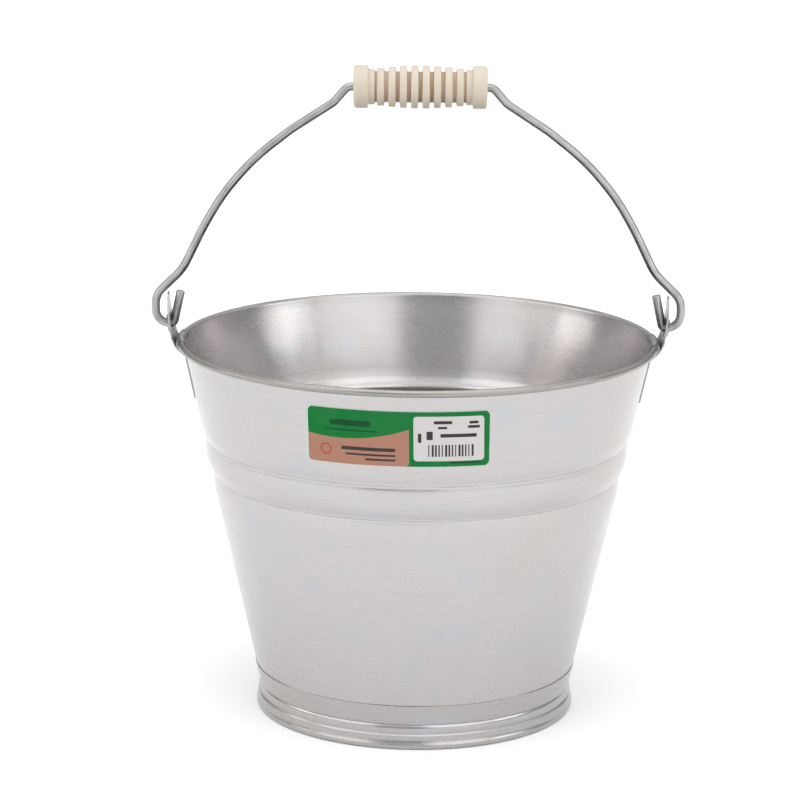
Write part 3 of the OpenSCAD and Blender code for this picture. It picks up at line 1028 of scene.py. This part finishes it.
@dataclass
class Bail:
    """The wire bail, bent at each corner and turned in through both ears."""

    pivot_height: float
    wire_radius: float = 0.0022
    around: int = 24
    end_chamfer: float = 0.0003
    corners: tuple[tuple[float, float, float], ...] = (
        (0.0373, 0.1245, 0.005),
        (0.0443, 0.1163, 0.012),
        (0.0663, 0.102, 0.06),
        (0.0853, 0.087, 0.11),
        (0.102, 0.0676, 0.11),
        (0.112, 0.0498, 0.11),
        (0.1223, 0.0286, 0.028),
        (0.1364, 0.015, 0.011),
        (0.1364, 0.0, 0.0072),
        (0.127, 0.0, 0.00245),
        (0.1233, 0.0172, 0.0),
    )

    @staticmethod
    def lay_print(piece: bpy.types.Object, path: Sequence[Vector]) -> None:
        """Gives a wire a UV map: once round it, and along its path in metres.

        Args:
            piece: The wire.
            path: Points along its middle line.
        """
        line = np.array([tuple(p) for p in path])
        steps = np.diff(line, axis=0)
        lengths = np.linalg.norm(steps, axis=1)
        run = np.concatenate([[0], np.cumsum(lengths)])
        layer = piece.data.uv_layers.new(name="along")
        spots = {}
        for vertex in piece.data.vertices:
            place = np.array(vertex.co)
            t = np.clip(((place - line[:-1]) * steps).sum(axis=1) / lengths**2, 0, 1)
            gap = np.linalg.norm(line[:-1] + t[:, None] * steps - place, axis=1)
            best = int(gap.argmin())
            away = place - (line[best] + t[best] * steps[best])
            ahead = steps[best] / lengths[best]
            side = np.cross(ahead, (0, 1, 0))
            angle = math.atan2(away.dot(side), away[1]) / (2 * math.pi)
            spots[vertex.index] = (angle, run[best] + t[best] * lengths[best])
        for face in piece.data.polygons:
            turns = [spots[piece.data.loops[i].vertex_index][0] for i in face.loop_indices]
            for turn, loop in zip(turns, face.loop_indices):
                along = spots[piece.data.loops[loop].vertex_index][1]
                layer.data[loop].uv = (turn + (1 if max(turns) - turn > 0.5 else 0), along)

    def bend(self, before: Vector, corner: Vector, after: Vector, radius: float) -> tuple[float, float]:
        """How far from a corner its bend starts, and how far the wire turns there."""
        turn = (corner - before).angle(after - corner)
        return radius * math.tan(turn / 2), turn

    def build(self) -> None:
        """Draws one half of the wire through its bends and mirrors it."""
        lift = self.pivot_height
        places = [Vector((0, 0, lift + self.corners[0][1]))]
        places += [Vector((x, 0, lift + z)) for x, z, _ in self.corners]
        radii = [0.0] + [radius for _, _, radius in self.corners]
        Bench.clear()
        bpy.ops.mesh.primitive_circle_add(
            vertices=self.around, radius=self.wire_radius, location=places[0], rotation=(0, math.pi / 2, 0)
        )
        wire = Bench.take("bail_wire")
        here = places[0]
        path = [here.copy()]
        with Bench.editing(wire):
            for index in range(1, len(places)):
                corner, radius = places[index], radii[index]
                ahead = (corner - places[index - 1]).normalized()
                last = index == len(places) - 1
                reach, turn = 0.0, 0.0
                if not last:
                    reach, turn = self.bend(places[index - 1], corner, places[index + 1], radius)
                target = corner - reach * ahead
                bpy.ops.mesh.extrude_region_move(TRANSFORM_OT_translate={"value": target - here})
                here = target
                path.append(here.copy())
                if last:
                    break
                next_way = (places[index + 1] - corner).normalized()
                axis = ahead.cross(next_way).normalized()
                centre = here + radius * axis.cross(ahead)
                steps = max(4, round(math.degrees(turn) / 8))
                Bench.spin(steps, turn, centre, axis)
                for step in range(1, steps + 1):
                    path.append(centre + Matrix.Rotation(turn * step / steps, 3, axis) @ (target - centre))
                here = path[-1].copy()
            bpy.ops.mesh.edge_face_add()
            bpy.ops.mesh.bevel(offset=self.end_chamfer, segments=2, affect="EDGES")
        Bench.modify(wire, "MIRROR", use_axis=(True, False, False), use_clip=False, merge_threshold=0.00002)
        Bench.weld(wire)
        mirrored = [Vector((-place.x, place.y, place.z)) for place in reversed(path[1:])]
        self.lay_print(wire, mirrored + path)
        Bench.finish(wire, Body.BAIL, "bail", Slot.WIRE, GalvanisedWire("bail_finish").build(), 35)


@dataclass
class Grip:
    """The ribbed plastic grip on the middle of the bail."""

    axis_height: float
    half_length: float = 0.0342
    bore: float = 0.0023
    collar_radius: float = 0.011
    collar_width: float = 0.0075
    collar_round: float = 0.0016
    step_radius: float = 0.0091
    step_width: float = 0.0033
    core_radius: float = 0.0079
    rib_pitch: float = 0.0058
    rib_width: float = 0.0038
    rib_middle: float = 0.01102
    rib_end: float = 0.0097
    rib_round: float = 0.0007
    rib_count: int = 8
    steps: int = 72

    def rounded(self, place: float, radius: float, size: float, first: float, last: float) -> list[Point]:
        """A rounded corner of the section, inside the place and radius given."""
        side = 1 if last < 90 else -1
        return arc((place - side * size, radius - size), size, first, last, 5)

    def half_line(self) -> list[Point]:
        """The section of the left end, from the bore to the barrel."""
        inner = self.half_length - self.collar_width
        line = [(-self.half_length + 0.0007, self.bore), (-self.half_length + 0.0001, self.bore + 0.0007)]
        line += [(-self.half_length, self.bore + 0.0016), (-self.half_length, 0.0078)]
        line += self.rounded(-self.half_length, self.collar_radius, self.collar_round, 180, 90)
        line += self.rounded(-inner, self.collar_radius, 0.0008, 90, 0)
        line += [(-inner, self.step_radius + 0.0004), (-inner + 0.0004, self.step_radius)]
        line += self.rounded(-inner + self.step_width, self.step_radius, 0.0005, 90, 0)
        line += [(-inner + self.step_width, self.core_radius + 0.0003)]
        line += [(-inner + self.step_width + 0.0003, self.core_radius)]
        return line

    def rib(self, place: float) -> list[Point]:
        """The section of one rib, with a small root radius."""
        reach = self.rib_pitch * (self.rib_count - 1) / 2
        radius = self.rib_middle - (self.rib_middle - self.rib_end) * (place / reach) ** 2
        start, end = place - self.rib_width / 2, place + self.rib_width / 2
        line = [(start - 0.0003, self.core_radius), (start, self.core_radius + 0.0003)]
        line += self.rounded(start, radius, self.rib_round, 180, 90)
        line += self.rounded(end, radius, self.rib_round, 90, 0)
        line += [(end, self.core_radius + 0.0003), (end + 0.0003, self.core_radius)]
        return line

    def build(self) -> None:
        """Turns the grip, bores it and raises its mould line."""
        left = self.half_line()
        ribs = []
        for index in range(self.rib_count):
            ribs += self.rib((index - (self.rib_count - 1) / 2) * self.rib_pitch)
        right = [(-place, radius) for place, radius in reversed(left)]
        outline = left + ribs + right
        grip = Bench.turned("grip_moulding", outline + [outline[0]], self.axis_height, self.steps)
        Bench.weld(grip)
        with Bench.editing(grip, False):
            level = self.axis_height
            Bench.pick(grip, lambda p: abs(p.y) < 0.0001 and abs(p.z - level) > self.core_radius - 0.0005)
            bpy.ops.transform.resize(value=(1, 1, 1.011), center_override=(0, 0, level))
        low, high = self.core_radius + 0.0002, self.core_radius + 0.0012
        finish = MouldedPlastic("ivory_plastic", self.axis_height, low, high).build()
        Bench.finish(grip, Body.GRIP, "grip", Slot.PLASTIC, finish, 40)


@dataclass
class Label:
    """The printed sticker on the wall above the band."""

    pail: Pail
    width: float = 0.0925
    height: float = 0.0294
    middle: float = 0.171
    turn: float = -4.6
    corner: float = 0.003
    film: float = 0.00015

    def build(self) -> None:
        """Cuts the sticker, presses it onto the wall and prints it."""
        radius = self.pail.upper_radius(self.middle)
        chord = 2 * radius * math.sin(self.width / radius / 2)
        Bench.clear()
        bpy.ops.mesh.primitive_plane_add(
            size=1, location=(0, -self.pail.rim_radius, self.middle), rotation=(math.pi / 2, 0, 0)
        )
        sticker = Bench.take("label_sticker")
        with Bench.editing(sticker):
            bpy.ops.transform.resize(value=(chord, 1, self.height), center_override=(0, 0, self.middle))
            bpy.ops.mesh.bevel(offset=self.corner, segments=8, affect="VERTICES")
            columns, rows = 56, 14
            for column in range(1, columns):
                bpy.ops.mesh.select_all(action="SELECT")
                cut = (chord * (column / columns - 0.5), 0, 0)
                bpy.ops.mesh.bisect(plane_co=cut, plane_no=(1, 0, 0), use_fill=False)
            for row in range(1, rows):
                bpy.ops.mesh.select_all(action="SELECT")
                cut = (0, 0, self.middle + self.height * (row / rows - 0.5))
                bpy.ops.mesh.bisect(plane_co=cut, plane_no=(0, 0, 1), use_fill=False)
            bpy.ops.mesh.select_all(action="SELECT")
            turn = math.radians(-self.turn)
            bpy.ops.transform.rotate(value=turn, orient_axis="Z", center_override=(0, 0, 0))
            back = (self.pail.rim_radius - radius) * math.sin(turn)
            bpy.ops.transform.translate(value=(back, 0, 0))
        Bench.face_out(sticker, lambda place: Vector((0, -1, 0)))
        Bench.modify(
            sticker, "SHRINKWRAP", target=self.pail.body, wrap_method="PROJECT", use_project_y=True,
            use_positive_direction=True, use_negative_direction=False, offset=0.00003,
        )
        Bench.modify(sticker, "SOLIDIFY", thickness=self.film, offset=1)
        self.lay_print(sticker)
        finish = PrintedLabel("label_ink", self.width, self.height).build()
        Bench.finish(sticker, Body.BUCKET, "label", Slot.PRINT, finish, 40)

    def lay_print(self, sticker: bpy.types.Object) -> None:
        """Gives the sticker a UV map in metres from its lower left corner."""
        layer = sticker.data.uv_layers.new(name="print")
        for face in sticker.data.polygons:
            for loop in face.loop_indices:
                place = sticker.data.vertices[sticker.data.loops[loop].vertex_index].co
                turn = math.atan2(place.x, -place.y) - math.radians(self.turn)
                along = turn * math.hypot(place.x, place.y)
                layer.data[loop].uv = (along + self.width / 2, place.z - self.middle + self.height / 2)


def main() -> None:
    """Builds the studio and the bucket's pieces, in order."""
    rim_play = 0.00001  # keeps the rolled rim inside the CAD's box
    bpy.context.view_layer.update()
    Studio().build()
    _, shell_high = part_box("body_shell")
    pivots = {joint["name"]: joint["pos_m"] for joint in frame["joints"]}
    pail = Pail(rim_radius=shell_high.y - rim_play, rim_height=shell_high.z)
    pail.build()
    Ears().build()
    Bail(pivot_height=pivots["bail_swing"][2]).build()
    Grip(axis_height=pivots["grip_spin"][2]).build()
    Label(pail).build()
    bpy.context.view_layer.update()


if __name__ == "__main__":
    main()
